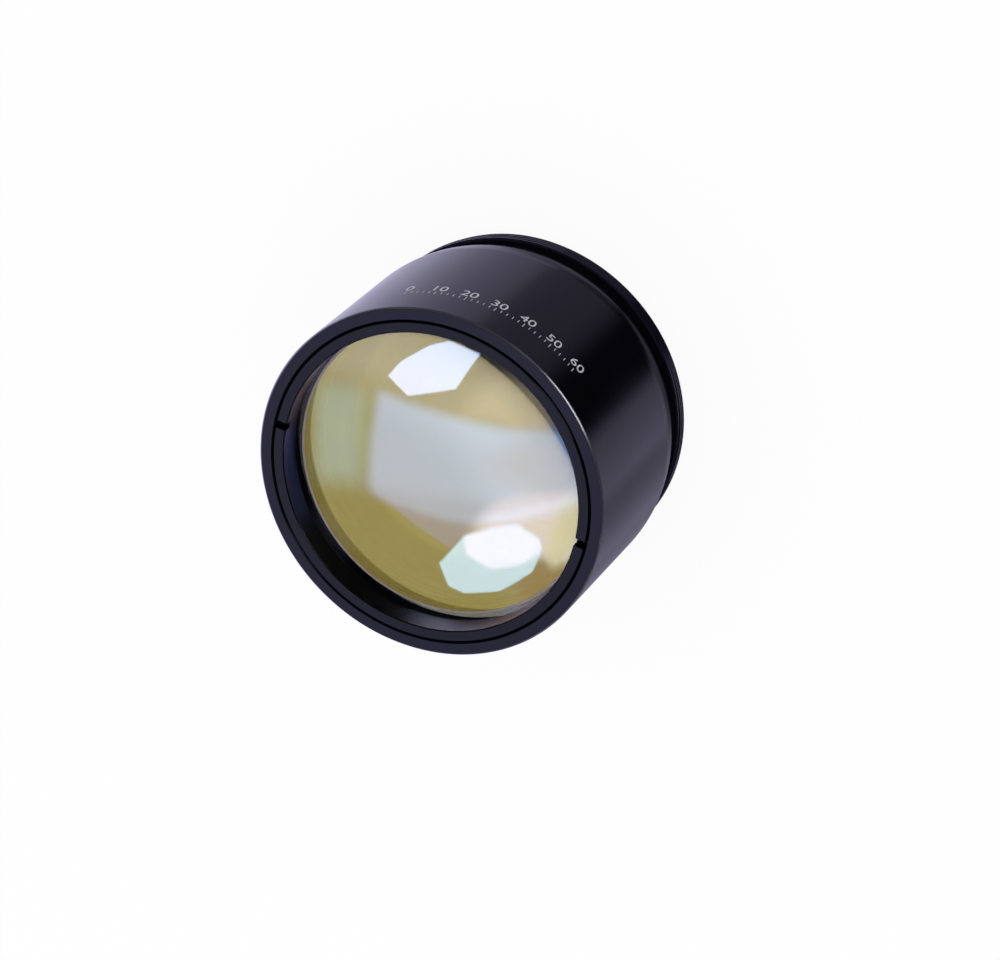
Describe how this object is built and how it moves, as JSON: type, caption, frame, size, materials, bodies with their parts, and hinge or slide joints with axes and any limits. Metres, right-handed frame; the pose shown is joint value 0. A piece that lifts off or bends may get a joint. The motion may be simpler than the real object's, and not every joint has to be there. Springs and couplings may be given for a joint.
{
  "type": "f theta scan lens",
  "caption": "Black turned lens barrel with a threaded rear end, a notched front retaining ring and a large coated convex front glass that sits recessed in it.",
  "frame": {"origin": "centre of the rear (threaded) end face, which it stands on", "axes": "+Z along the optical axis from the threaded rear end towards the front glass; X along the spanner slots of both rings"},
  "size_m": [0.088, 0.088, 0.0583],
  "materials": {
    "barrel_anodised": "satin",
    "ring_anodised": "satin",
    "spacer_black": "matte",
    "coated_glass": "polished",
    "inner_glass": "polished",
    "rear_glass": "polished",
    "seal_rubber": "matte",
    "shim_brass": "satin"
  },
  "bodies": {
    "root": {"barrel": "barrel_anodised", "front_ring": "ring_anodised", "front_o_ring": "seal_rubber", "front_lens": "coated_glass", "front_spacer": "spacer_black", "second_lens": "inner_glass", "airspace_shim": "shim_brass", "middle_spacer": "spacer_black", "third_lens": "inner_glass", "rear_lens": "rear_glass", "rear_o_ring": "seal_rubber", "rear_ring": "ring_anodised"}
  },
  "joints": []
}
